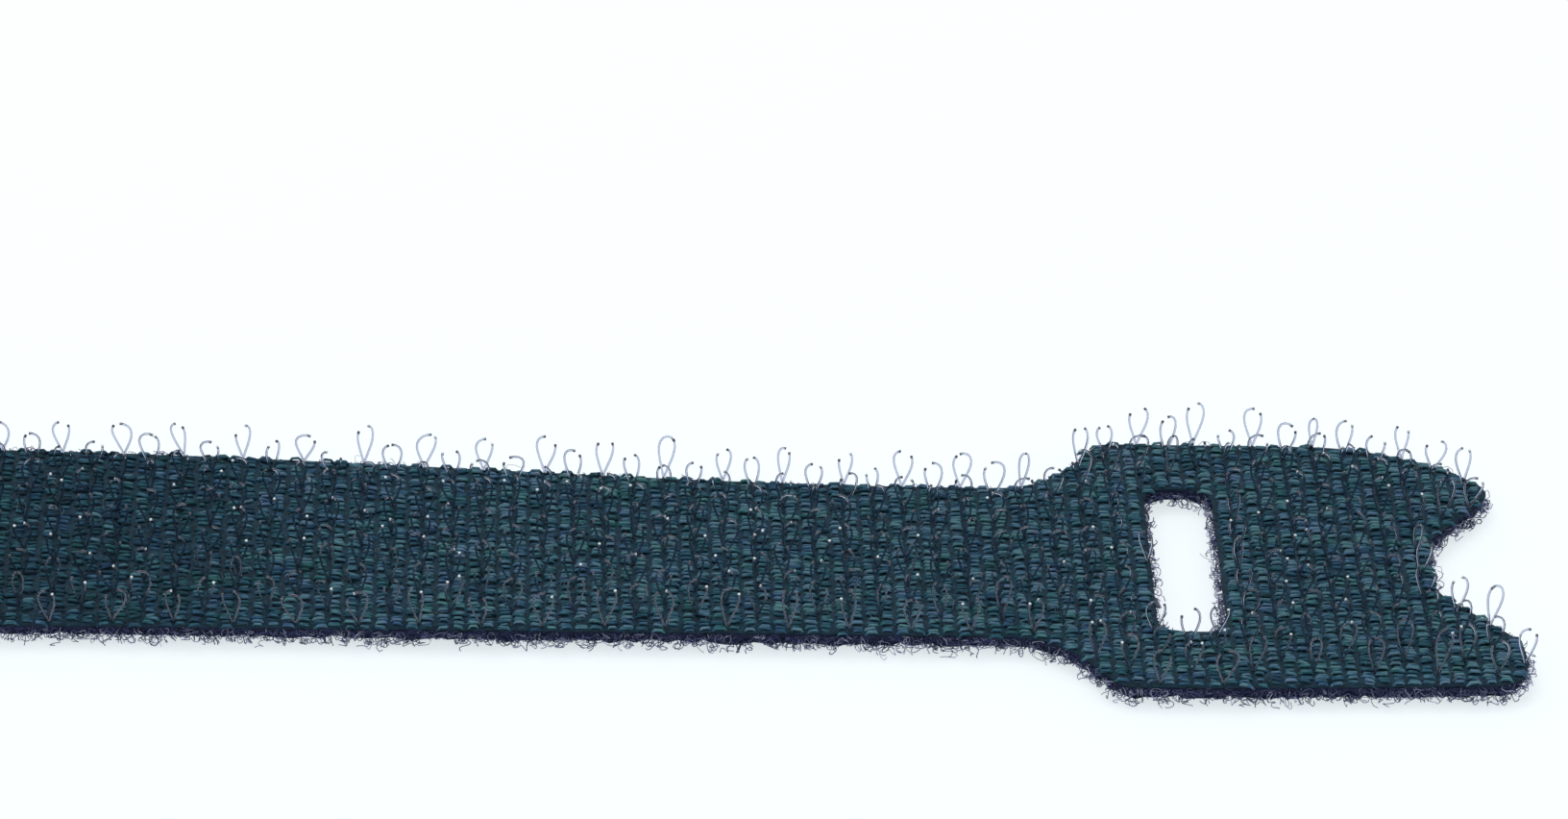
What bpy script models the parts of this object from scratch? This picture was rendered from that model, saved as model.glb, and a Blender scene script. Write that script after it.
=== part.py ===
"""A hook and loop cable tie, lying as it comes to rest with its hooks up.

The tie is die-cut in one piece from a woven nylon tape. The tape has a ribbed ground, rows of hooks
standing on its face and a napped loop pile on its back. A long strap widens at two shoulders into a
head, which has a slot for the tail to pass through and a fishtail end. The strap keeps a slight twist
from its packing, so between its two ends the back edge stands a little off the surface.

Units are metres. The head points to +X and the hooks to +Z. The origin is at the middle of the tie's
length and width, on the surface that it lies on.
"""

import math

import bmesh
import bpy
import numpy as np

# Along the tie
TIE_LENGTH = 0.150
TAIL_RADIUS = 0.0055
SHOULDER_TO_TIPS = 0.0192
FLARE_RUN = 0.0029
FLARE_RADIUS = 0.0045
SHOULDER_RADIUS = 0.0008
SLOT_TO_TIPS = 0.0156
SLOT_WIDTH = 0.0033
SLOT_RADIUS = 0.0010
NOTCH_DEPTH = 0.0038

# Across the tie
STRAP_WIDTH = 0.0118
HEAD_WIDTH = 0.0194
SLOT_LENGTH = 0.0115
SLOT_OFFSET = 0.0003
NOTCH_FLOOR_WIDTH = 0.0041
NOTCH_RADIUS = 0.0015

# The fishtail's two tips, each place given from the tips' end and from the middle line. The back one, at
# +Y, is narrow: its side bends in twice. The front one is blunt and narrows only a little.
BACK_SIDE_TO_TIPS = 0.0068
BACK_SIDE_RADIUS = 0.0200
BACK_BEND_TO_TIPS = 0.0024
BACK_BEND_OFFSET = 0.0081
BACK_BEND_RADIUS = 0.0060
BACK_TIP_TO_TIPS = 0.0002
BACK_TIP_OFFSET = 0.0061
BACK_TIP_RADIUS = 0.0008
FRONT_SIDE_TO_TIPS = 0.0148
FRONT_SIDE_RADIUS = 0.0250
FRONT_TIP_OUTER_OFFSET = 0.0092
FRONT_TIP_OUTER_RADIUS = 0.0016
FRONT_TIP_INNER_OFFSET = 0.0060
FRONT_TIP_INNER_RADIUS = 0.0025

# Through the tape
PILE_THICKNESS = 0.00075
GROUND_THICKNESS = 0.00055
RIB_HEIGHT = 0.00020
PILE_EDGE = 0.00025

# The weave, with a rib at each weft pick, and the hooks
RIB_PITCH = 0.00072
RIBS_PER_HOOK_ROW = 4
HOOK_PITCH = 0.00288
HOOK_HEIGHT = 0.00195
HOOK_BULGE = 0.00030
HOOK_CURL = 0.00050
HOOK_ROD_RADIUS = 0.00015
HOOK_EDGE_MARGIN = 0.00050

# The twist that the strap keeps, which fades out towards the head and the tail
TWIST = math.radians(7.9)
TWIST_FADE = 0.048
TAIL_FLAT = 0.013

# The finish
NYLON_COLOUR = (0.012, 0.022, 0.029, 1.0)
NYLON_ROUGHNESS = 0.85

ROD_SIDES = 3
ARC_STEP = math.radians(18)
RIBS_PER_BAY = 8
FACE_Z = PILE_THICKNESS + GROUND_THICKNESS
TIPS_X = TIE_LENGTH / 2
SLOT_X = TIPS_X - SLOT_TO_TIPS
SHOULDER_X = TIPS_X - SHOULDER_TO_TIPS
FLARE_X = SHOULDER_X - FLARE_RUN
NECK_X = FLARE_X - FLARE_RADIUS


def clear_scene():
    for existing in list(bpy.data.objects):
        bpy.data.objects.remove(existing, do_unlink=True)


def rounded(corners):
    """A closed outline from its corners (x, y, radius), with an arc at each corner that has a radius.

    An arc starts radius * tan(turn / 2) before its corner, but no further than half of each side.
    """
    outline = []
    spots = [np.array(corner[:2]) for corner in corners]
    for index, (_, _, radius) in enumerate(corners):
        here = spots[index]
        back = spots[index - 1] - here
        ahead = spots[(index + 1) % len(spots)] - here
        reach = min(np.linalg.norm(back), np.linalg.norm(ahead)) / 2
        back, ahead = back / np.linalg.norm(back), ahead / np.linalg.norm(ahead)
        turn = math.pi - math.acos(float(np.clip(back @ ahead, -1, 1)))
        start = min(radius * math.tan(turn / 2), reach * 0.98)
        if start < 1e-6:
            outline.append(here)
            continue
        arc_radius = start / math.tan(turn / 2)
        middle = back + ahead
        centre = here + middle / np.linalg.norm(middle) * math.hypot(start, arc_radius)
        steps = max(2, math.ceil(turn / ARC_STEP))
        first, last = here + back * start - centre, here + ahead * start - centre
        for share in np.linspace(0, 1, steps + 1):
            spoke = first * math.sin((1 - share) * turn) + last * math.sin(share * turn)
            outline.append(centre + spoke / math.sin(turn))
    return np.array(outline)


def tie_outline():
    """The die's outer line, anticlockwise seen from +Z."""
    strap = [
        (-TIE_LENGTH / 2, STRAP_WIDTH / 2, TAIL_RADIUS),
        (FLARE_X, STRAP_WIDTH / 2, FLARE_RADIUS),
        (SHOULDER_X, HEAD_WIDTH / 2, SHOULDER_RADIUS),
    ]
    front_tip = [
        (TIPS_X - FRONT_SIDE_TO_TIPS, -HEAD_WIDTH / 2, FRONT_SIDE_RADIUS),
        (TIPS_X, -FRONT_TIP_OUTER_OFFSET, FRONT_TIP_OUTER_RADIUS),
        (TIPS_X, -FRONT_TIP_INNER_OFFSET, FRONT_TIP_INNER_RADIUS),
        (TIPS_X - NOTCH_DEPTH, -NOTCH_FLOOR_WIDTH / 2, NOTCH_RADIUS),
    ]
    back_tip = [
        (TIPS_X - NOTCH_DEPTH, NOTCH_FLOOR_WIDTH / 2, NOTCH_RADIUS),
        (TIPS_X - BACK_TIP_TO_TIPS, BACK_TIP_OFFSET, BACK_TIP_RADIUS),
        (TIPS_X - BACK_BEND_TO_TIPS, BACK_BEND_OFFSET, BACK_BEND_RADIUS),
        (TIPS_X - BACK_SIDE_TO_TIPS, HEAD_WIDTH / 2, BACK_SIDE_RADIUS),
    ]
    return rounded([(x, -y, radius) for x, y, radius in strap] + front_tip + back_tip + strap[::-1])


def slot_outline():
    """The slot, anticlockwise seen from +Z. It is long across the tie, to take the strap's width."""
    x, front, back = SLOT_WIDTH / 2, SLOT_OFFSET - SLOT_LENGTH / 2, SLOT_OFFSET + SLOT_LENGTH / 2
    corners = [(SLOT_X - x, front), (SLOT_X + x, front), (SLOT_X + x, back), (SLOT_X - x, back)]
    return rounded([(*corner, SLOT_RADIUS) for corner in corners])


def with_bays(outline):
    """The outline with a further point wherever a bay of ribs ends, so that its sides can follow the twist."""
    bay = RIBS_PER_BAY * RIB_PITCH
    points = []
    for here, ahead in zip(outline, np.roll(outline, -1, axis=0)):
        low, high = sorted((here[0], ahead[0]))
        stations = np.arange(math.floor(low / bay), math.ceil(high / bay) + 1) * bay + RIB_PITCH / 4
        stations = stations[(stations > low + RIB_PITCH) & (stations < high - RIB_PITCH)]
        shares = (stations - here[0]) / (ahead[0] - here[0]) if len(stations) else stations
        points.append(here)
        points.extend(here + share * (ahead - here) for share in sorted(shares))
    return np.array(points)


def grown(outline, distance):
    """The outline moved outwards by a distance, each point along the mean of its two sides' normals."""
    ahead = np.roll(outline, -1, axis=0) - outline
    ahead = ahead / np.linalg.norm(ahead, axis=1)[:, None]
    normal = np.stack([ahead[:, 1], -ahead[:, 0]], axis=1)
    mean = normal + np.roll(normal, 1, axis=0)
    mean = mean / np.linalg.norm(mean, axis=1)[:, None]
    return outline + distance * mean / (mean * normal).sum(axis=1)[:, None]


def depth_inside(spots, outline):
    """How far each spot lies inside the outline, and below zero outside it."""
    start, side = outline, np.roll(outline, -1, axis=0) - outline
    offset = spots[:, None] - start
    share = np.clip((offset * side).sum(axis=2) / (side**2).sum(axis=1), 0, 1)
    distance = np.linalg.norm(offset - share[..., None] * side, axis=2).min(axis=1)
    above = start[:, 1] > spots[:, None, 1]
    crosses = above != np.roll(above, -1, axis=1)
    rise = np.where(side[:, 1] == 0, 1, side[:, 1])
    crossing_x = start[:, 0] + offset[..., 1] / rise * side[:, 0]
    inside = (crosses & (spots[:, None, 0] < crossing_x)).sum(axis=1) % 2 == 1
    return np.where(inside, distance, -distance)


def new_object(name, shape):
    bmesh.ops.recalc_face_normals(shape, faces=shape.faces)
    mesh = bpy.data.meshes.new(name)
    shape.to_mesh(mesh)
    shape.free()
    made = bpy.data.objects.new(name, mesh)
    bpy.context.scene.collection.objects.link(made)
    return made


def cutter(name, levels):
    """A hidden solid whose outline changes from level to level, given as (height, outline)."""
    shape = bmesh.new()
    rings = [[shape.verts.new((x, y, z)) for x, y in outline] for z, outline in levels]
    for low, high in zip(rings, rings[1:]):
        for index in range(len(low)):
            shape.faces.new((low[index - 1], low[index], high[index], high[index - 1]))
    shape.faces.new(rings[0][::-1])
    shape.faces.new(rings[-1])
    made = new_object(name, shape)
    made.hide_render = True
    made.display_type = "WIRE"
    return made


def woven_blank():
    """The tape before it is cut: a profile with a ridge at each pick, extruded across the tape."""
    ribs = math.ceil(TIE_LENGTH / 2 / RIB_PITCH) + 1
    bays = math.ceil(ribs / RIBS_PER_BAY)
    end = bays * RIBS_PER_BAY
    bottom = [(bay * RIBS_PER_BAY * RIB_PITCH, 0.0) for bay in range(-bays, bays + 1)]
    top = []
    for rib in range(end, -end, -1):
        top.append((rib * RIB_PITCH, FACE_Z - RIB_HEIGHT))
        top.append(((rib - 0.5) * RIB_PITCH, FACE_Z))
    top.append((-end * RIB_PITCH, FACE_Z - RIB_HEIGHT))
    shape = bmesh.new()
    near = shape.faces.new([shape.verts.new((x, -HEAD_WIDTH, z)) for x, z in bottom + top])
    far = bmesh.ops.extrude_face_region(shape, geom=[near])["geom"]
    moved = [item for item in far if isinstance(item, bmesh.types.BMVert)]
    bmesh.ops.translate(shape, verts=moved, vec=(0, 2 * HEAD_WIDTH, 0))
    return new_object("cable_tie", shape)


def hook_sites(outline, slot):
    """Where hooks stand, as rows of (x, y, way), each row shifted by half a pitch and curled the other way."""
    row_pitch = RIBS_PER_HOOK_ROW * RIB_PITCH
    rows = math.ceil(TIE_LENGTH / 2 / row_pitch)
    columns = math.ceil(HEAD_WIDTH / 2 / HOOK_PITCH)
    row, column = np.meshgrid(np.arange(-rows, rows + 1), np.arange(-columns, columns + 1))
    row, column = row.ravel(), column.ravel()
    odd = row % 2
    spots = np.stack([row * row_pitch + RIB_PITCH / 4, (column + odd / 2 - 0.25) * HOOK_PITCH], axis=1)
    clear = depth_inside(spots, outline) > HOOK_EDGE_MARGIN
    clear &= depth_inside(spots, slot) < -HOOK_EDGE_MARGIN
    return np.column_stack([spots, 1 - 2 * odd])[clear]


def hook_path(way):
    """One hook's centre line in its own (along, up) plane: it leans out, comes back and curls over."""
    foot = -GROUND_THICKNESS / 2
    return [
        (0.0, foot),
        (-way * HOOK_BULGE, HOOK_HEIGHT * 0.45),
        (-way * HOOK_BULGE * 0.4, HOOK_HEIGHT * 0.85),
        (way * HOOK_CURL * 0.5, HOOK_HEIGHT - HOOK_ROD_RADIUS),
        (way * HOOK_CURL, HOOK_HEIGHT * 0.72),
    ]


def hooks(outline, slot):
    """Every hook as a closed rod, its foot sunk into the ground. They are one piece with the tape."""
    shape = bmesh.new()
    for x, y, way in hook_sites(outline, slot):
        path = np.array(hook_path(way)) + (x, FACE_Z - RIB_HEIGHT / 2)
        slope = np.gradient(path, axis=0)
        slope = slope / np.linalg.norm(slope, axis=1)[:, None]
        rings = []
        for (along, up), (run, rise) in zip(path, slope):
            ring = []
            for side in range(ROD_SIDES):
                angle = 2 * math.pi * side / ROD_SIDES
                out, across = HOOK_ROD_RADIUS * math.cos(angle), HOOK_ROD_RADIUS * math.sin(angle)
                ring.append(shape.verts.new((along + out * rise, y + across, up - out * run)))
            rings.append(ring)
        for low, high in zip(rings, rings[1:]):
            for side in range(ROD_SIDES):
                shape.faces.new((low[side - 1], low[side], high[side], high[side - 1]))
        shape.faces.new(rings[0][::-1])
        shape.faces.new(rings[-1])
    made = new_object("hook_rods", shape)
    made.hide_render = True
    made.display_type = "WIRE"
    return made


def boolean(target, name, operation, other):
    step = target.modifiers.new(name, "BOOLEAN")
    step.operation = operation
    step.solver = "EXACT"
    step.object = other


def eased(share):
    """Zero up to 0 and one from 1 on, with a smooth change between."""
    share = np.clip(share, 0, 1)
    return share * share * (3 - 2 * share)


def laid(points):
    """The points as the tape lies: turned about the strap's front edge by an angle that fades to both ends."""
    x, y, z = points.T
    tail_x = -TIE_LENGTH / 2 + TAIL_FLAT
    angle = TWIST * eased((NECK_X - x) / TWIST_FADE) * eased((x - tail_x) / TWIST_FADE)
    front = -STRAP_WIDTH / 2
    across = front + (y - front) * np.cos(angle) - z * np.sin(angle)
    return np.stack([x, across, (y - front) * np.sin(angle) + z * np.cos(angle)], axis=1)


def baked(target):
    """Replaces the object's mesh by its evaluated one, as triangles laid on the surface."""
    bpy.context.view_layer.update()
    evaluated = target.evaluated_get(bpy.context.evaluated_depsgraph_get())
    shape = bmesh.new()
    shape.from_mesh(evaluated.to_mesh())
    evaluated.to_mesh_clear()
    bmesh.ops.triangulate(shape, faces=shape.faces)
    target.modifiers.clear()
    shape.to_mesh(target.data)
    shape.free()
    points = np.empty(len(target.data.vertices) * 3, np.float32)
    target.data.vertices.foreach_get("co", points)
    target.data.vertices.foreach_set("co", laid(points.reshape(-1, 3)).ravel())
    target.data.update()


def nylon():
    material = bpy.data.materials.new("black_nylon_weave")
    material.use_nodes = True
    surface = material.node_tree.nodes["Principled BSDF"]
    surface.inputs["Base Color"].default_value = NYLON_COLOUR
    surface.inputs["Roughness"].default_value = NYLON_ROUGHNESS
    surface.inputs["Metallic"].default_value = 0.0
    return material


def build():
    clear_scene()
    outline, slot = with_bays(tie_outline()), slot_outline()
    above = FACE_Z + RIB_HEIGHT
    below = PILE_EDGE / 4
    flare = PILE_EDGE + below
    tie = woven_blank()
    die = cutter("die", [(-below, grown(outline, -flare)), (PILE_EDGE, outline), (above, outline)])
    punch = cutter("slot_punch", [(-below, grown(slot, flare)), (PILE_EDGE, slot), (above, slot)])
    boolean(tie, "cut_outline", "INTERSECT", die)
    boolean(tie, "cut_slot", "DIFFERENCE", punch)
    boolean(tie, "woven_in_hooks", "UNION", hooks(outline, slot))
    baked(tie)
    tie.data.materials.clear()
    tie.data.materials.append(nylon())


build()
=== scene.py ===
"""The finish of a hook and loop cable tie: woven ground, monofilament hooks, napped loop pile.

Everything is worked out in the tie's own flat plan first, with the head at +X and the hooks at +Z, and
then laid with the slight twist that the strap keeps. Lengths are written in millimetres times MM, and
those of the table and its lamp in metres.
"""

import math

import bpy
import numpy as np
from mathutils import Matrix, Vector
from mathutils.geometry import delaunay_2d_cdt


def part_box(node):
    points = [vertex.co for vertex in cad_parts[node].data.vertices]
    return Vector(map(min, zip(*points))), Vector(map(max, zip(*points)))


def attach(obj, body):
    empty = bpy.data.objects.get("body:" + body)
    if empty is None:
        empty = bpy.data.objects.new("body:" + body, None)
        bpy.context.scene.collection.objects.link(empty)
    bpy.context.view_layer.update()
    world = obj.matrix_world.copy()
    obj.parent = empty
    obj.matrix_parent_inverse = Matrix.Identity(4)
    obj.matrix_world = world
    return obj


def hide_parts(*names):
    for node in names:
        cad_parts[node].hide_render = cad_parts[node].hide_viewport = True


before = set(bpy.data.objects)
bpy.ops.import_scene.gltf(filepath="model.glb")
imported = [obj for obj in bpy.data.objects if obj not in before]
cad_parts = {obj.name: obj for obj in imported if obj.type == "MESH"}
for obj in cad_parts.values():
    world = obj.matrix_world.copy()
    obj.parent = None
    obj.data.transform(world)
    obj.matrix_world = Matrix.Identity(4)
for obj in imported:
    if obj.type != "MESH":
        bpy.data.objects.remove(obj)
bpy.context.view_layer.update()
NODE = "cable_tie"
MM = 0.001
RANDOM = np.random.default_rng(20)

# The cut outline, as the die gives it
LOW, HIGH = (np.array(corner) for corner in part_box(NODE))
TIE_LENGTH = HIGH[0] - LOW[0]
HEAD_WIDTH = HIGH[1] - LOW[1]
STRAP_WIDTH = 11.8 * MM
TAIL_RADIUS = 5.5 * MM
SHOULDER_TO_TIPS = 19.2 * MM
FLARE_RUN = 2.9 * MM
FLARE_RADIUS = 4.5 * MM
SHOULDER_RADIUS = 0.8 * MM
SLOT_TO_TIPS = 15.6 * MM
SLOT_WIDTH = 3.3 * MM
SLOT_LENGTH = 11.5 * MM
SLOT_OFFSET = 0.3 * MM
SLOT_RADIUS = 1.0 * MM
NOTCH_DEPTH = 3.8 * MM
NOTCH_FLOOR_WIDTH = 4.1 * MM
NOTCH_RADIUS = 1.5 * MM
BACK_SIDE_TO_TIPS = 6.8 * MM
BACK_SIDE_RADIUS = 20.0 * MM
BACK_BEND_TO_TIPS = 2.4 * MM
BACK_BEND_OFFSET = 8.1 * MM
BACK_BEND_RADIUS = 6.0 * MM
BACK_TIP_TO_TIPS = 0.2 * MM
BACK_TIP_OFFSET = 6.1 * MM
BACK_TIP_RADIUS = 0.8 * MM
FRONT_SIDE_TO_TIPS = 14.8 * MM
FRONT_SIDE_RADIUS = 25.0 * MM
FRONT_TIP_OUTER_OFFSET = 9.2 * MM
FRONT_TIP_OUTER_RADIUS = 1.6 * MM
FRONT_TIP_INNER_OFFSET = 6.0 * MM
FRONT_TIP_INNER_RADIUS = 2.5 * MM

# How finely the outline is drawn
ARC_POINTS = 13
OUTLINE_STEP = 0.6 * MM
SLOT_STEP = 0.5 * MM

# Through the tape
PILE_THICKNESS = 0.75 * MM
FACE_Z = 1.30 * MM

# The walls of the two slabs, from below, as (height, how far they stand out past the inset)
GROUND_LEVELS = [(0.88 * MM, -0.06 * MM), (0.96 * MM, 0.0), (1.07 * MM, 0.0)]
GROUND_STEP = 0.24 * MM
PILE_LEVELS = [(0.12 * MM, 0.15 * MM), (0.40 * MM, 0.40 * MM), (0.90 * MM, 0.41 * MM)]
PILE_STEP = 0.4 * MM
PILE_INSET = 0.5 * MM
PILE_ROUGHNESS = 0.10 * MM
SLAB_GRID = 1.0 * MM

# The twist that the strap keeps
TWIST = math.radians(7.9)
TWIST_FADE = 48.0 * MM
TAIL_FLAT = 13.0 * MM

# The weave: a rib at each weft pick, crossed by warp yarns that float over it
RIB_PITCH = 0.72 * MM
FLOAT_PITCH = 0.25 * MM
FLOAT_LENGTH = 0.75 * MM
FLOAT_WIDTH = 0.22 * MM
FLOAT_THICKNESS = 0.19 * MM
FLOAT_ARCH = 0.28 * MM
FLOAT_RINGS = np.array([-0.95, -0.42, 0.42, 0.95])
FLOAT_SIDES = 4
FLOAT_SIZE_SPREAD = 0.12
FLOAT_SLANT_SPREAD = 0.16
FLOAT_STRAY = 0.035 * MM
BINDING_REPEAT = 5
BINDING_SINK = 0.10 * MM

# The floats' tone, with a painted light falloff that darkens it towards the tail as the photograph's light
# does
STRAP_SHADE = 0.21
HEAD_PAINTED_LIGHT_GAIN = 0.21
PAINTED_FALLOFF_START_X = 5.0 * MM
PAINTED_FALLOFF_RUN = 18.0 * MM
SHADE_SPREAD = 0.12
# Painted shade: darker towards each float's dipping ends, and on the lower binding yarns
PAINTED_SHADE_AT_DIPS = 0.24
PAINTED_SHADE_AT_BINDING = 0.12

# The hooks: a loop of monofilament in a lattice of every second rib, cut beside its top
ROW_PITCH = 2 * RIB_PITCH
HOOK_PITCH = 1.92 * MM
HOOK_HEIGHT = 2.15 * MM
HOOK_WIDTH = 0.80 * MM
HOOK_RADIUS = 0.058 * MM
HOOK_ROOT = 0.25 * MM
HOOK_MARGIN = 0.05 * MM
HOOK_STEPS = 11
HOOK_SIDES = 5
HOOK_STRAY = 0.03 * MM
HOOK_WIDTH_SPREAD = 0.12
HOOK_HEIGHT_SPREAD = 0.07
HOOK_YAW_SPREAD = math.radians(14)
HOOK_LEAN_SPREAD = 0.07
HOOK_TILT_SPREAD = 0.06
FLIPPED_SHARE = 0.2
UNCUT_SHARE = 0.12
UNCUT_WIDTH = 0.6
PUNCHED_BAND = 0.25 * MM
PUNCHED_SHARE = 0.3

# Where the branches start and end, in half turns from the foot
FOOT_TURN = 0.13
LONG_TURN, LONG_TURN_SPREAD = 0.99, 0.08
SHORT_TURN, SHORT_TURN_SPREAD = 0.78, 0.06
UNCUT_LONG_TURN, UNCUT_SHORT_TURN = 1.02, 0.98

# The cut ends: swollen a little by the knife, most of them dull grey, and the rest with a painted highlight
END_SWELLING = 0.3
PAINTED_HIGHLIGHT_SHARE = 0.3
DULL_END, PAINTED_HIGHLIGHT_END = 0.5, 1.0

# A loose fibre: the least and the most that it turns, and its shape in shares of its reach
FIBRE_RADIUS = 0.024 * MM
FIBRE_STEPS = 12
FIBRE_SIDES = 3
FIBRE_TURNS = 1.6 * math.pi, 4.2 * math.pi
FIBRE_SQUEEZE = 0.4, 1.0
FIBRE_DRIFT = 3.5
FIBRE_BEND = 1.0

# The loop pile: how many fibres, where they stand and how far they reach, as the least and the most
PILE_PER_SQUARE_MM = 0.20
PILE_MARGIN = 0.5 * MM
PILE_HEIGHTS = 0.10 * MM, 0.35 * MM
PILE_REACH = 0.14 * MM, 0.30 * MM
EDGE_FIBRES_PER_MM = 13.0
EDGE_FIBRE_PLACES = -0.22 * MM, 0.22 * MM
EDGE_FIBRE_REACH = 0.12 * MM, 0.30 * MM
EDGE_PILE_FOOT = 0.06 * MM
EDGE_PILE_TOP = 0.88 * MM
EDGE_HEIGHT_POWER = 0.7
STRAYS_PER_MM = 0.7
STRAY_PLACES = -0.20 * MM, 0.25 * MM
STRAY_REACH = 0.25 * MM, 0.50 * MM
STRAY_RADIUS = 0.018 * MM

# Loose filaments on the hook face
FUZZ_PER_SQUARE_MM = 0.30
FUZZ_MARGIN = 0.1 * MM
FUZZ_REACH = 0.12 * MM, 0.40 * MM
FUZZ_HEIGHT = 0.35 * MM
FUZZ_RADIUS = 0.012 * MM

# The photograph's view, with the camera's aim given from the middle of the slot
CAMERA_DOWN = math.radians(35.0)
CAMERA_SIDE = math.radians(2.827)
CAMERA_ROLL = math.radians(2.454)
CAMERA_DISTANCE = 349.0 * MM
CAMERA_LENS = 163.8
AIM_FROM_SLOT = Vector((-18.86 * MM, 11.92 * MM, 0))

# The table and its light. The camera sees the table with a weaker shadow and lifted to the photograph's
# white. Through the clear hooks it is lifted as well.
TABLE_SIZE = 6.0
TABLE_SHADE = 0.40
TABLE_LIFT = 0.71
THROUGH_LIFT = 1.0
WORLD_STRENGTH = 0.72
LAMP_PLACE = Vector((-0.10, 0.30, 0.55))
LAMP_AIM = Vector((0.03, 0, 0))
LAMP_SIZE = 0.5, 0.3
LAMP_ENERGY = 1.2

TIPS_X = TIE_LENGTH / 2
SLOT_X = TIPS_X - SLOT_TO_TIPS
SHOULDER_X = TIPS_X - SHOULDER_TO_TIPS
FLARE_X = SHOULDER_X - FLARE_RUN
NECK_X = FLARE_X - FLARE_RADIUS


def linear(code):
    """An sRGB colour written as six hex digits, as linear red, green, blue and alpha."""
    parts = [int(code[index : index + 2], 16) / 255 for index in (0, 2, 4)]
    return tuple(p / 12.92 if p <= 0.04045 else ((p + 0.055) / 1.055) ** 2.4 for p in parts) + (1.0,)


def node(tree, kind, links=None, inputs=None, **settings):
    """Adds a node with its settings. inputs holds socket values, and links holds socket sources."""
    made = tree.nodes.new(kind)
    for name, value in settings.items():
        setattr(made, name, value)
    for name, value in (inputs or {}).items():
        made.inputs[name].default_value = value
    for name, source in (links or {}).items():
        tree.links.new(source, made.inputs[name])
    return made


def rounded(corners):
    """A closed outline from corners (x, y, radius): an arc is swept from spoke to spoke at each corner."""
    outline = []
    spots = [np.array(corner[:2]) for corner in corners]
    for index, (_, _, radius) in enumerate(corners):
        here = spots[index]
        back = spots[index - 1] - here
        ahead = spots[(index + 1) % len(spots)] - here
        reach = min(np.linalg.norm(back), np.linalg.norm(ahead)) / 2
        back, ahead = back / np.linalg.norm(back), ahead / np.linalg.norm(ahead)
        turn = math.pi - math.acos(float(np.clip(back @ ahead, -1, 1)))
        start = min(radius * math.tan(turn / 2), reach * 0.98)
        arc_radius = start / math.tan(turn / 2)
        middle = back + ahead
        centre = here + middle / np.linalg.norm(middle) * math.hypot(start, arc_radius)
        share = np.linspace(0, 1, ARC_POINTS)[:, None]
        first, last = here + back * start - centre, here + ahead * start - centre
        spokes = first * np.sin((1 - share) * turn) + last * np.sin(share * turn)
        outline.append(centre + spokes / math.sin(turn))
    return np.concatenate(outline)


def even_steps(outline, step):
    """The closed outline as points about one step apart along it."""
    closed = np.vstack([outline, outline[:1]])
    along = np.concatenate([[0], np.cumsum(np.linalg.norm(np.diff(closed, axis=0), axis=1))])
    places = np.linspace(0, along[-1], max(8, round(along[-1] / step)), endpoint=False)
    return np.stack([np.interp(places, along, closed[:, axis]) for axis in (0, 1)], axis=1)


def outward(outline):
    """The unit normals of an anticlockwise outline, each from its two neighbours."""
    run = np.roll(outline, -1, axis=0) - np.roll(outline, 1, axis=0)
    run /= np.linalg.norm(run, axis=1)[:, None]
    return np.stack([run[:, 1], -run[:, 0]], axis=1)


def depth_inside(spots, outline):
    """How far each spot lies inside the outline, and below zero outside it. 500 spots go at a time."""
    side = np.roll(outline, -1, axis=0) - outline
    depths = []
    for some in np.array_split(spots, max(1, len(spots) // 500)):
        offset = some[:, None] - outline
        share = np.clip((offset * side).sum(axis=2) / (side**2).sum(axis=1), 0, 1)
        distance = np.linalg.norm(offset - share[..., None] * side, axis=2).min(axis=1)
        above = outline[:, 1] > some[:, None, 1]
        rise = np.where(side[:, 1] == 0, 1, side[:, 1])
        crossing = outline[:, 0] + offset[..., 1] / rise * side[:, 0]
        crosses = (above != np.roll(above, -1, axis=1)) & (some[:, None, 0] < crossing)
        depths.append(np.where(crosses.sum(axis=1) % 2 == 1, distance, -distance))
    return np.concatenate(depths)


STRAP = [
    (-TIE_LENGTH / 2, STRAP_WIDTH / 2, TAIL_RADIUS),
    (FLARE_X, STRAP_WIDTH / 2, FLARE_RADIUS),
    (SHOULDER_X, HEAD_WIDTH / 2, SHOULDER_RADIUS),
]
TIPS = [
    (TIPS_X - FRONT_SIDE_TO_TIPS, -HEAD_WIDTH / 2, FRONT_SIDE_RADIUS),
    (TIPS_X, -FRONT_TIP_OUTER_OFFSET, FRONT_TIP_OUTER_RADIUS),
    (TIPS_X, -FRONT_TIP_INNER_OFFSET, FRONT_TIP_INNER_RADIUS),
    (TIPS_X - NOTCH_DEPTH, -NOTCH_FLOOR_WIDTH / 2, NOTCH_RADIUS),
    (TIPS_X - NOTCH_DEPTH, NOTCH_FLOOR_WIDTH / 2, NOTCH_RADIUS),
    (TIPS_X - BACK_TIP_TO_TIPS, BACK_TIP_OFFSET, BACK_TIP_RADIUS),
    (TIPS_X - BACK_BEND_TO_TIPS, BACK_BEND_OFFSET, BACK_BEND_RADIUS),
    (TIPS_X - BACK_SIDE_TO_TIPS, HEAD_WIDTH / 2, BACK_SIDE_RADIUS),
]
OUTLINE = even_steps(rounded([(x, -y, r) for x, y, r in STRAP] + TIPS + STRAP[::-1]), OUTLINE_STEP)
SLOT_CORNERS = [
    (SLOT_X + a * SLOT_WIDTH / 2, SLOT_OFFSET + b * SLOT_LENGTH / 2, SLOT_RADIUS)
    for a, b in ((-1, -1), (1, -1), (1, 1), (-1, 1))
]
SLOT_EDGE = even_steps(rounded(SLOT_CORNERS), SLOT_STEP)


def on_tape(spots):
    """How far each spot lies inside the cut shape: inside the outer line and outside the slot."""
    return np.minimum(depth_inside(spots, OUTLINE), -depth_inside(spots, SLOT_EDGE))


def eased(share):
    """A smooth step from 0 to 1: 3 s^2 - 2 s^3, with s held between 0 and 1."""
    share = np.clip(share, 0, 1)
    return share * share * (3 - 2 * share)


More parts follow.
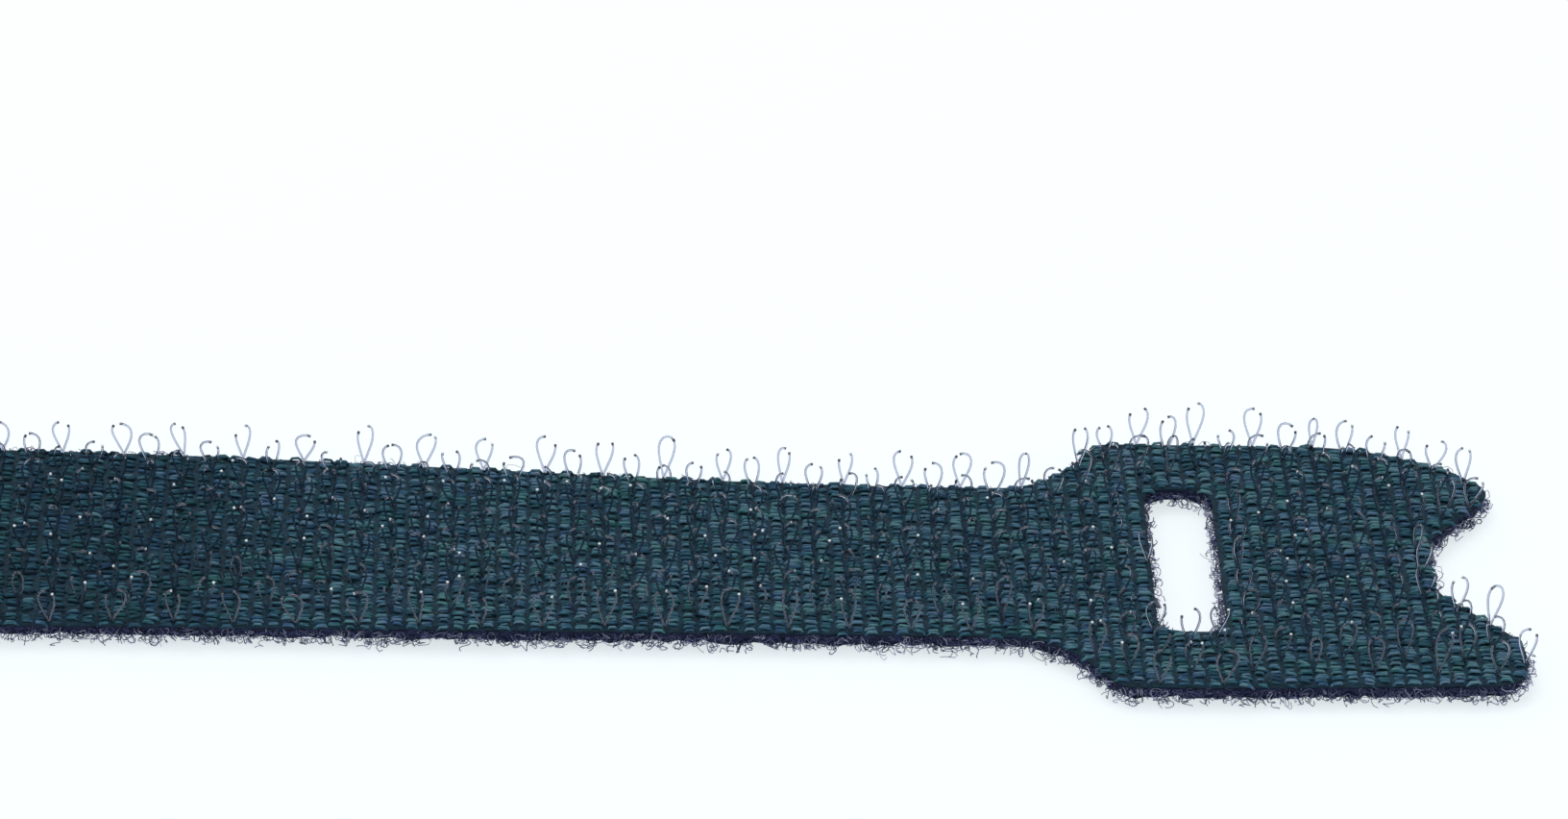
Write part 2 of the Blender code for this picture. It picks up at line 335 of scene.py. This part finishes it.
def laid(points):
    """The flat plan's points as the tape lies: turned about the strap's front edge, fading to both ends.

    What lies in front of that edge isn't turned down into the table.
    """
    x, y, z = points.reshape(-1, 3).T
    tail_x = -TIE_LENGTH / 2 + TAIL_FLAT
    angle = TWIST * eased((NECK_X - x) / TWIST_FADE) * eased((x - tail_x) / TWIST_FADE)
    front = -STRAP_WIDTH / 2
    across = front + (y - front) * np.cos(angle) - z * np.sin(angle)
    up = np.maximum(y - front, 0) * np.sin(angle) + z * np.cos(angle)
    return np.stack([x, across, up], axis=1)


def new_piece(name, points, quads, triangles, material, shades=None):
    """A mesh object from whole arrays of points and faces, laid on the surface, riding on the tie."""
    mesh = bpy.data.meshes.new(name)
    corners = np.concatenate([quads.ravel(), triangles.ravel()]).astype(np.int32)
    sizes = np.concatenate([np.full(len(quads), 4), np.full(len(triangles), 3)])
    starts = np.concatenate([[0], np.cumsum(sizes)[:-1]]).astype(np.int32)
    mesh.vertices.add(len(points))
    mesh.loops.add(len(corners))
    mesh.polygons.add(len(sizes))
    mesh.vertices.foreach_set("co", laid(points).astype(np.float32).ravel())
    mesh.loops.foreach_set("vertex_index", corners)
    mesh.polygons.foreach_set("loop_start", starts)
    mesh.polygons.foreach_set("use_smooth", np.ones(len(sizes), dtype=bool))
    if shades is not None:
        kept = mesh.attributes.new("shade", "FLOAT", "POINT")
        kept.data.foreach_set("value", shades.astype(np.float32))
    mesh.update(calc_edges=True)
    mesh.validate()
    mesh.materials.append(material)
    made = bpy.data.objects.new(name, mesh)
    bpy.context.scene.collection.objects.link(made)
    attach(made, "root")
    return made


def tubes(paths, radii, shades, sides, across, stretch=1.0):
    """Closed tubes along many paths at once, as points, quads, triangles and a shade for each point.

    paths is (tubes, steps, 3), and radii and shades are (tubes, steps). Each step carries a ring of
    points at path + radius * (cos(a) * first + stretch * sin(a) * second), where first stands square
    to the path's slope and to the direction across, and second to both. Both ends close in a point.
    """
    count, steps, _ = paths.shape
    slope = np.gradient(paths, axis=1)
    slope /= np.linalg.norm(slope, axis=2)[..., None] + 1e-12
    first = np.cross(slope, across)
    first /= np.linalg.norm(first, axis=2)[..., None] + 1e-12
    second = np.cross(slope, first)
    angle = np.linspace(0, 2 * math.pi, sides, endpoint=False)[:, None]
    spokes = first[:, :, None] * np.cos(angle) + second[:, :, None] * np.sin(angle) * stretch
    rings = paths[:, :, None] + radii[:, :, None, None] * spokes
    points = np.concatenate([rings.reshape(count, -1, 3), paths[:, :1], paths[:, -1:]], axis=1)
    ring_shades = np.repeat(shades, sides, axis=1)
    shades = np.concatenate([ring_shades, shades[:, :1], shades[:, -1:]], axis=1)
    step, side = np.meshgrid(np.arange(steps - 1), np.arange(sides), indexing="ij")
    here, beside = step * sides + side, step * sides + (side + 1) % sides
    quads = np.stack([here, beside, beside + sides, here + sides], axis=-1).reshape(-1, 4)
    ring, last = np.arange(sides), (steps - 1) * sides
    turned = np.roll(ring, -1)
    start_fan = np.stack([turned, ring, np.full(sides, steps * sides)], axis=1)
    end_fan = np.stack([last + ring, last + turned, np.full(sides, steps * sides + 1)], axis=1)
    fans = np.concatenate([start_fan, end_fan])
    offsets = (np.arange(count) * points.shape[1])[:, None, None]
    quads, fans = (quads + offsets).reshape(-1, 4), (fans + offsets).reshape(-1, 3)
    return points.reshape(-1, 3), quads, fans, shades.ravel()


def in_halves(spots):
    """The spots of the head half and of the tail half, each with the half's name."""
    towards_head = spots[:, 0] > 0
    return ("head_half", spots[towards_head]), ("tail_half", spots[~towards_head])


def slab(name, inset, levels, rough, step, material):
    """A flat body of the cut shape, with Delaunay faces above and below.

    Its walls run through levels of (height, bulge past the inset), and step is the spacing of their points.
    Below the top level, each point moves by up to rough at random, outwards or inwards, and up or down.
    """
    outer, hole = even_steps(OUTLINE, step), even_steps(SLOT_EDGE, step)
    outer, hole = outer - outward(outer) * inset, hole + outward(hole) * inset
    rim = np.concatenate([outer, hole])
    across_x = np.arange(-TIE_LENGTH / 2, TIE_LENGTH / 2, SLAB_GRID)
    across_y = np.arange(-HEAD_WIDTH / 2, HEAD_WIDTH / 2, SLAB_GRID)
    grid = np.stack(np.meshgrid(across_x, across_y), axis=-1).reshape(-1, 2)
    grid = grid[on_tape(grid) > inset + SLAB_GRID / 2]
    plan = np.concatenate([rim, grid])
    ring, hole_ring = np.arange(len(outer)), np.arange(len(hole)) + len(outer)
    sides = np.concatenate([np.column_stack([line, np.roll(line, -1)]) for line in (ring, hole_ring)])
    found = delaunay_2d_cdt([Vector(place) for place in plan], sides.tolist(), [], 0, 1e-9)
    origin = np.array([sources[0] for sources in found[3]])
    faces = origin[np.array(found[2])]
    middles = plan[faces].mean(axis=1)
    faces = faces[(depth_inside(middles, outer) > 0) & (depth_inside(middles, hole) < 0)]
    normals = np.concatenate([outward(outer), -outward(hole)])
    rings = []
    for index, (z, bulge) in enumerate(levels):
        out, up = RANDOM.uniform(-1, 1, (2, len(rim), 1)) * rough * (index < len(levels) - 1)
        rings.append(np.hstack([rim + normals * (bulge + out), z + up]))
    flats = [np.column_stack([grid, np.full(len(grid), z)]) for z in (levels[0][0], levels[-1][0])]
    count, inner = len(rim), len(levels) * len(rim)
    below = np.where(faces < count, faces, faces - count + inner)
    above = np.where(faces < count, faces + inner - count, faces - count + inner + len(grid))
    wall = np.column_stack([sides, sides[:, ::-1] + count])
    wall[len(outer) :] = wall[len(outer) :, ::-1]
    walls = np.concatenate([wall + level * count for level in range(len(levels) - 1)])
    points = np.concatenate(rings + flats)
    return new_piece(name, points, walls, np.concatenate([below[:, ::-1], above]), material)


def new_material(name, roughness, shine=0.5):
    """A material with its Principled BSDF at nylon's refraction, and the tree and shader to go on with."""
    material = bpy.data.materials.new(name)
    material.use_nodes = True
    surface = material.node_tree.nodes["Principled BSDF"]
    surface.inputs["IOR"].default_value = 1.53
    surface.inputs["Roughness"].default_value = roughness
    surface.inputs["Specular IOR Level"].default_value = shine
    return material, material.node_tree, surface


def colours(tree, source, stops):
    """A colour ramp over (position, hex colour) stops, read at the source."""
    ramp = node(tree, "ShaderNodeValToRGB", {"Fac": source})
    elements = ramp.color_ramp.elements
    while len(elements) < len(stops):
        elements.new(0.5)
    for element, (position, code) in zip(elements, stops):
        element.position = position
        element.color = linear(code)
    return ramp.outputs["Color"]


def yarn_material():
    """Spun-dyed nylon multifilament: matt and dark, with fine filaments that run along each yarn.

    The eye sees a blue-black cloth that turns from teal to blue in patches of about a millimetre.
    """
    material, tree, surface = new_material("nylon_multifilament_yarn", 0.60, 0.22)
    place = node(tree, "ShaderNodeTexCoord").outputs["Object"]
    # The shade attribute carries the floats' tone, with painted shade at their dips and bindings and a
    # painted light falloff towards the tail
    shade = node(tree, "ShaderNodeAttribute", attribute_name="shade").outputs["Fac"]
    # The filaments are 0.03 mm thick and are drawn at 0.08 mm, which still shows
    along = node(tree, "ShaderNodeMapping", {"Vector": place}, {"Scale": (1.5, 12.0, 12.0)})
    filaments = node(
        tree, "ShaderNodeTexNoise", {"Vector": along.outputs["Vector"]}, {"Scale": 1000.0, "Detail": 2.0}
    )
    total = node(tree, "ShaderNodeMath", {0: filaments.outputs["Fac"], 1: shade}, operation="ADD")
    teal = colours(tree, total.outputs["Value"], [(0.40, "0a2a2e"), (0.80, "256464"), (1.0, "568c88")])
    blue = colours(tree, total.outputs["Value"], [(0.40, "10253f"), (0.80, "2e547a"), (1.0, "627a9c")])
    patches = node(
        tree, "ShaderNodeTexNoise", {"Vector": place}, {"Scale": 800.0, "Detail": 2.0, "Roughness": 0.6}
    )
    sharper = node(
        tree,
        "ShaderNodeMapRange",
        {"Value": patches.outputs["Fac"]},
        {"From Min": 0.24, "From Max": 0.76},
    )
    both = node(tree, "ShaderNodeMix", data_type="RGBA")
    tree.links.new(sharper.outputs["Result"], both.inputs["Factor"])
    tree.links.new(teal, both.inputs["A"])
    tree.links.new(blue, both.inputs["B"])
    tree.links.new(both.outputs["Result"], surface.inputs["Base Color"])
    bump = node(
        tree,
        "ShaderNodeBump",
        {"Height": filaments.outputs["Fac"]},
        {"Strength": 0.8, "Distance": 0.03 * MM},
    )
    tree.links.new(bump.outputs["Normal"], surface.inputs["Normal"])
    return material


def packed_material(name, dark, light, layering):
    """Packed nylon yarn or pile, from a dark to a light colour in grains 0.3 mm long.

    layering flattens the grains into the layers that the die-cut edge of a weave shows.
    """
    material, tree, surface = new_material(name, 0.7, 0.2)
    place = node(tree, "ShaderNodeTexCoord").outputs["Object"]
    layers = node(tree, "ShaderNodeMapping", {"Vector": place}, {"Scale": (1.0, 1.0, layering)})
    noise = node(
        tree, "ShaderNodeTexNoise", {"Vector": layers.outputs["Vector"]}, {"Scale": 3000.0, "Detail": 3.0}
    )
    colour = colours(tree, noise.outputs["Fac"], [(0.30, dark), (0.72, light)])
    tree.links.new(colour, surface.inputs["Base Color"])
    bump = node(
        tree, "ShaderNodeBump", {"Height": noise.outputs["Fac"]}, {"Strength": 0.8, "Distance": 0.10 * MM}
    )
    tree.links.new(bump.outputs["Normal"], surface.inputs["Normal"])
    return material


def hook_material():
    """Drawn nylon monofilament: smoky and clear as glass along its length, and cloudy at its cut ends.

    The eye sees pale loops over the table, and over the cloth faint stems, with an end here and there that
    carries a painted highlight in near white.
    """
    material, tree, surface = new_material("nylon_monofilament", 0.10, 0.2)
    shade = node(tree, "ShaderNodeAttribute", attribute_name="shade").outputs["Fac"]
    # Along the stems the clear tint, at 0.5 the dull grey ends, and at 1 a painted highlight in near white
    colour = colours(tree, shade, [(0.0, "9ea3b4"), (0.5, "666a76"), (1.0, "eef8f8")])
    tree.links.new(colour, surface.inputs["Base Color"])
    clear = node(tree, "ShaderNodeMath", {1: shade}, {0: 0.97}, operation="SUBTRACT", use_clamp=True)
    tree.links.new(clear.outputs["Value"], surface.inputs["Transmission Weight"])
    return material


def fibre_material(name, dark, middle, light):
    """Loose nylon filaments: fine, glossy and half clear, each of its own shade from dark to light.

    The eye sees a soft fringe of dark curls with light glints in it.
    """
    material, tree, surface = new_material(name, 0.3)
    shade = node(tree, "ShaderNodeAttribute", attribute_name="shade").outputs["Fac"]
    colour = colours(tree, shade, [(0.0, dark), (0.6, middle), (1.0, light)])
    tree.links.new(colour, surface.inputs["Base Color"])
    surface.inputs["Transmission Weight"].default_value = 0.6
    return material


def weave_floats(material):
    """Warp yarns where they float over a pick.

    On the rib numbered i the floats lie every FLOAT_PITCH across, shifted by half a pitch on every other
    rib. A float is a spindle along X whose width and thickness follow sqrt(1 - u^4), with u from -1 to 1,
    and whose middle line arches by u^2 so that its ends dip under the neighbouring picks. One yarn in
    BINDING_REPEAT, a step further on each rib, is pulled down by its binding and lies lower, and painted
    shade makes it darker. Painted shade also darkens each float with u^2, towards the dips, and a painted
    light falloff darkens the floats towards the tail.
    """
    ribs = math.ceil(TIE_LENGTH / 2 / RIB_PITCH)
    lanes = math.ceil(HEAD_WIDTH / 2 / FLOAT_PITCH)
    rib, lane = np.meshgrid(np.arange(-ribs, ribs), np.arange(-lanes, lanes + 1), indexing="ij")
    rib, lane = rib.ravel(), lane.ravel()
    binding = (lane + rib) % BINDING_REPEAT == 0
    spots = np.stack([(rib + 0.5) * RIB_PITCH, (lane + 0.5 * (rib % 2)) * FLOAT_PITCH, binding], axis=1)
    spots = spots[on_tape(spots[:, :2]) > 0]
    u = FLOAT_RINGS
    across = np.array([0.0, 1.0, 0.0])
    stretch = FLOAT_WIDTH / FLOAT_THICKNESS
    for half, some in in_halves(spots):
        count = len(some)
        size = RANDOM.normal(1, FLOAT_SIZE_SPREAD, (count, 1))
        along = FLOAT_LENGTH / 2 * size * u
        slant = RANDOM.normal(0, FLOAT_SLANT_SPREAD, (count, 1))
        stray = RANDOM.normal(0, FLOAT_STRAY, (count, 3, 1))
        x = some[:, :1] + stray[:, 0] + along
        y = some[:, 1:2] + stray[:, 1] + along * slant
        low = some[:, 2:]
        z = FACE_Z - FLOAT_THICKNESS / 2 + stray[:, 2] - FLOAT_ARCH * u**2 - BINDING_SINK * low
        radii = FLOAT_THICKNESS / 2 * size * np.sqrt(1 - u**4)
        # Painted light falloff: the floats are lighter towards the head and darker towards the tail
        shades = STRAP_SHADE + HEAD_PAINTED_LIGHT_GAIN * eased((some[:, :1] - PAINTED_FALLOFF_START_X) / PAINTED_FALLOFF_RUN)
        shades = shades + RANDOM.normal(0, SHADE_SPREAD, (count, 1))
        # Painted shade at the dips towards the float's ends and on the lower binding yarns
        shades = shades - PAINTED_SHADE_AT_DIPS * u**2 - PAINTED_SHADE_AT_BINDING * low
        shape = tubes(np.stack([x, y, z], axis=-1), radii, shades, FLOAT_SIDES, across, stretch)
        new_piece("weave_" + half, *shape[:3], material, shape[3])


def hook_branch(spots, way, turn, sizes):
    """One branch of each cut loop, along a lyre-shaped curve that stands in the plane along the tape.

    With the angle a from the foot, the branch is at x = width / 2 * sin(a) * (1 - cos(a)) / 1.3 and
    z = height * (1 - cos(a)) / 2, where 1.3 is about the most that sin(a) * (1 - cos(a)) can be. It runs
    from just over the foot to the angle turn.
    """
    width, height, yaw, lean, tilt = sizes
    start = FOOT_TURN * math.pi
    angle = start + (turn - start)[:, None] * np.linspace(0, 1, HOOK_STEPS)
    out = (way * width)[:, None] / 2 * np.sin(angle) * (1 - np.cos(angle)) / 1.3
    up = height[:, None] * (1 - np.cos(angle)) / 2
    x = spots[:, :1] + out * np.cos(yaw)[:, None] + up * tilt[:, None]
    y = spots[:, 1:2] + out * np.sin(yaw)[:, None] + up * lean[:, None]
    return np.stack([x, y, FACE_Z - HOOK_ROOT + up], axis=-1)


def hooks(material):
    """Rows of monofilament loops, each cut beside its top: a long hooked branch and a shorter one.

    A row stands at every second rib, shifted by half a pitch from the row before. The side of the cut
    changes after every two rows, and is the other one for FLIPPED_SHARE of the loops. A few loops stay
    uncut, and those are narrower. Beside the slot, most loops in the PUNCHED_BAND are gone with the waste.
    """
    rows = math.ceil(TIE_LENGTH / 2 / ROW_PITCH)
    columns = math.ceil(HEAD_WIDTH / 2 / HOOK_PITCH)
    row, column = np.meshgrid(np.arange(-rows, rows + 1), np.arange(-columns, columns + 1), indexing="ij")
    row, column = row.ravel(), column.ravel()
    spots = np.stack([row * ROW_PITCH, (column + 0.5 * (row % 2)) * HOOK_PITCH, row], axis=1)
    spots = spots[on_tape(spots[:, :2]) > HOOK_MARGIN]
    whole = -depth_inside(spots[:, :2], SLOT_EDGE) > PUNCHED_BAND
    spots = spots[whole | (RANDOM.random(len(spots)) < PUNCHED_SHARE)]
    for half, some in in_halves(spots):
        count = len(some)
        places = some[:, :2] + RANDOM.normal(0, HOOK_STRAY, (count, 2))
        way = np.where((some[:, 2] // 2) % 2 == 0, 1.0, -1.0)
        way = np.where(RANDOM.random(count) < FLIPPED_SHARE, -way, way)
        uncut = RANDOM.random(count) < UNCUT_SHARE
        sizes = (
            HOOK_WIDTH * RANDOM.normal(1, HOOK_WIDTH_SPREAD, count) * np.where(uncut, UNCUT_WIDTH, 1),
            HOOK_HEIGHT * RANDOM.normal(1, HOOK_HEIGHT_SPREAD, count),
            RANDOM.normal(0, HOOK_YAW_SPREAD, count),
            RANDOM.normal(0, HOOK_LEAN_SPREAD, count),
            RANDOM.normal(0, HOOK_TILT_SPREAD, count),
        )
        long_turn = RANDOM.normal(LONG_TURN, LONG_TURN_SPREAD, count)
        long_turn = math.pi * np.where(uncut, UNCUT_LONG_TURN, long_turn)
        short_turn = RANDOM.normal(SHORT_TURN, SHORT_TURN_SPREAD, count)
        short_turn = math.pi * np.where(uncut, UNCUT_SHORT_TURN, short_turn)
        long_branches = hook_branch(places, -way, long_turn, sizes)
        short_branches = hook_branch(places, way, short_turn, sizes)
        paths = np.concatenate([long_branches, short_branches])
        cut = np.tile(~uncut, 2)[:, None]
        near_end = np.clip(np.arange(HOOK_STEPS) - (HOOK_STEPS - 2), 0, 1) * cut
        radii = HOOK_RADIUS * (1 + END_SWELLING * near_end)
        # Most cut ends are dull grey, and a share of them carry a painted highlight
        shades = near_end * np.where(RANDOM.random((2 * count, 1)) < PAINTED_HIGHLIGHT_SHARE, PAINTED_HIGHLIGHT_END, DULL_END)
        shape = tubes(paths, radii, shades, HOOK_SIDES, np.array([0.0, 1.0, 0.0]))
        new_piece("hooks_" + half, *shape[:3], material, shape[3])


def curls(name, centres, reach, radius, top, material):
    """Crimped fibres, each a flattened helix along a random direction that bends over as it goes.

    With t from 0 to 1 along the fibre and the angle a growing with it by FIBRE_TURNS, a point lies at the
    centre plus reach * (cos(a) * e1 + squeeze * sin(a) * e2 + drift * (t - 1/2) * e3 + bend * t^2 * e1),
    and is held between the table and the height top.
    """
    count = len(centres)
    t = np.linspace(0, 1, FIBRE_STEPS)
    frames = np.linalg.qr(RANDOM.normal(size=(count, 3, 3)))[0]
    start = RANDOM.uniform(0, 2 * math.pi, (count, 1))
    angle = start + RANDOM.uniform(*FIBRE_TURNS, (count, 1)) * t
    squeeze = RANDOM.uniform(*FIBRE_SQUEEZE, (count, 1))
    drift = RANDOM.uniform(-FIBRE_DRIFT, FIBRE_DRIFT, (count, 1)) * (t - 0.5)
    bend = RANDOM.uniform(-FIBRE_BEND, FIBRE_BEND, (count, 1)) * t**2
    local = np.stack([np.cos(angle) + bend, squeeze * np.sin(angle), drift], axis=-1) * reach[:, None, None]
    paths = centres[:, None] + np.einsum("nsk,nkj->nsj", local, frames)
    paths[..., 2] = np.clip(paths[..., 2], radius, top)
    radii = np.full((count, FIBRE_STEPS), radius)
    shades = np.repeat(RANDOM.uniform(0, 1, (count, 1)), FIBRE_STEPS, axis=1)
    shape = tubes(paths, radii, shades, FIBRE_SIDES, np.array([0.3, 0.2, 1.0]))
    new_piece(name, *shape[:3], material, shape[3])


def over_blank(per_square_mm, margin):
    """Random spots on the tape, more than margin inside its cuts, from so many on the whole blank."""
    count = round(TIE_LENGTH * HEAD_WIDTH / MM**2 * per_square_mm)
    spots = RANDOM.uniform(-0.5, 0.5, (count, 2)) * (TIE_LENGTH, HEAD_WIDTH)
    return spots[on_tape(spots) > margin]


def along_edges(per_mm, places):
    """Spots along both cut lines, between two places outwards of them, at random heights in the pile."""
    lines = [even_steps(line, MM / per_mm) for line in (OUTLINE, SLOT_EDGE)]
    sides = np.concatenate([outward(lines[0]), -outward(lines[1])])
    spots = np.concatenate(lines)
    spots = spots + sides * RANDOM.uniform(*places, (len(spots), 1))
    shares = RANDOM.random(len(spots)) ** EDGE_HEIGHT_POWER
    heights = EDGE_PILE_FOOT + (EDGE_PILE_TOP - EDGE_PILE_FOOT) * shares
    return np.column_stack([spots, heights])


def pile(material):
    """The napped loops under the tape, thick at its cut edges, with a few long strays."""
    spots = over_blank(PILE_PER_SQUARE_MM, PILE_MARGIN)
    middles = np.column_stack([spots, RANDOM.uniform(*PILE_HEIGHTS, len(spots))])
    reach = RANDOM.uniform(*PILE_REACH, len(spots))
    curls("pile_middle", middles, reach, FIBRE_RADIUS, PILE_THICKNESS, material)
    edge = along_edges(EDGE_FIBRES_PER_MM, EDGE_FIBRE_PLACES)
    for side, there in (("front", edge[:, 1] < 0), ("back", edge[:, 1] >= 0)):
        for half, some in in_halves(edge[there]):
            reach = RANDOM.uniform(*EDGE_FIBRE_REACH, len(some))
            curls(f"pile_{side}_{half}", some, reach, FIBRE_RADIUS, EDGE_PILE_TOP, material)
    strays = along_edges(STRAYS_PER_MM, STRAY_PLACES)
    reach = RANDOM.uniform(*STRAY_REACH, len(strays))
    curls("pile_strays", strays, reach, STRAY_RADIUS, EDGE_PILE_TOP, material)


def fuzz(material):
    """Loose filaments worked out of the yarn, lying in low arcs on the hook face."""
    spots = over_blank(FUZZ_PER_SQUARE_MM, FUZZ_MARGIN)
    centres = np.column_stack([spots, np.full(len(spots), FACE_Z)])
    reach = RANDOM.uniform(*FUZZ_REACH, len(spots))
    curls("surface_fuzz", centres, reach, FUZZ_RADIUS, FACE_Z + FUZZ_HEIGHT, material)


def stage():
    """A matt white table that the camera sees as white, under a soft even light and one large lamp."""
    bpy.ops.mesh.primitive_plane_add(size=TABLE_SIZE, location=(0, 0, 0))
    floor = bpy.context.object
    floor.name = "table"
    material, tree, surface = new_material("matt_white_laminate", 0.9, 0.1)
    path = node(tree, "ShaderNodeLightPath").outputs
    white = np.array(linear("f6fafd"))
    seen = node(tree, "ShaderNodeMix", data_type="RGBA")
    tree.links.new(path["Is Camera Ray"], seen.inputs["Factor"])
    seen.inputs["A"].default_value = white
    seen.inputs["B"].default_value = white * (TABLE_SHADE, TABLE_SHADE, TABLE_SHADE, 1)
    tree.links.new(seen.outputs["Result"], surface.inputs["Base Color"])
    direct = node(tree, "ShaderNodeMath", {0: path["Is Camera Ray"]}, {1: TABLE_LIFT}, operation="MULTIPLY")
    lift = node(
        tree,
        "ShaderNodeMath",
        {0: path["Is Transmission Ray"], 2: direct.outputs["Value"]},
        {1: THROUGH_LIFT},
        operation="MULTIPLY_ADD",
    )
    surface.inputs["Emission Color"].default_value = linear("f4fcff")
    tree.links.new(lift.outputs["Value"], surface.inputs["Emission Strength"])
    floor.data.materials.append(material)
    world = bpy.data.worlds.new("studio")
    world.use_nodes = True
    background = world.node_tree.nodes["Background"]
    background.inputs["Color"].default_value = linear("f6faff")
    background.inputs["Strength"].default_value = WORLD_STRENGTH
    bpy.context.scene.world = world
    lamp = bpy.data.lights.new("soft_box", "AREA")
    lamp.shape = "RECTANGLE"
    lamp.size, lamp.size_y = LAMP_SIZE
    lamp.energy = LAMP_ENERGY
    made = bpy.data.objects.new("soft_box", lamp)
    made.location = LAMP_PLACE
    made.rotation_euler = (LAMP_AIM - LAMP_PLACE).to_track_quat("-Z", "Y").to_euler()
    bpy.context.scene.collection.objects.link(made)


def camera():
    """The photograph's camera, from its downward angle, its turn to the side, its roll and its distance."""
    side, down, roll = CAMERA_SIDE, CAMERA_DOWN, CAMERA_ROLL
    ahead = Vector((math.sin(side) * math.cos(down), math.cos(side) * math.cos(down), -math.sin(down)))
    right = Vector((math.cos(side), -math.sin(side), 0))
    up = right.cross(ahead)
    rolled_right = math.cos(roll) * right + math.sin(roll) * up
    rolled_up = math.cos(roll) * up - math.sin(roll) * right
    axes = Matrix((rolled_right, rolled_up, -ahead)).transposed().to_4x4()
    lens = bpy.data.cameras.new("photo_camera")
    lens.lens = CAMERA_LENS
    lens.clip_start = 0.01
    lens.clip_end = 10.0
    made = bpy.data.objects.new("photo_camera", lens)
    aim = Vector((SLOT_X, 0, FACE_Z)) + AIM_FROM_SLOT
    made.matrix_world = Matrix.Translation(aim - ahead * CAMERA_DISTANCE) @ axes
    bpy.context.scene.collection.objects.link(made)
    bpy.context.scene.camera = made


def build():
    """The whole tie, from the pile up, with the imported CAD part hidden."""
    # The ground's own dark yarn, made darker still as painted shade in the valleys between the floats
    ground_yarn_painted_shade = packed_material("nylon_ground_weave", "0a1f2a", "224252", 4.0)
    pile_mass = packed_material("nylon_pile_mass", "12182c", "343c62", 1.0)
    ground = slab("tape_ground", 0.0, GROUND_LEVELS, 0.0, GROUND_STEP, ground_yarn_painted_shade)
    core = slab("pile_core", PILE_INSET, PILE_LEVELS, PILE_ROUGHNESS, PILE_STEP, pile_mass)
    weave_floats(yarn_material())
    hooks(hook_material())
    pile(fibre_material("nylon_loop_fibre", "343c70", "6c74aa", "d8def4"))
    fuzz(fibre_material("nylon_surface_fibre", "2c4a56", "54727e", "a8bcc0"))
    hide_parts(NODE)


bpy.context.scene.view_settings.view_transform = "Standard"
camera()
stage()
build()
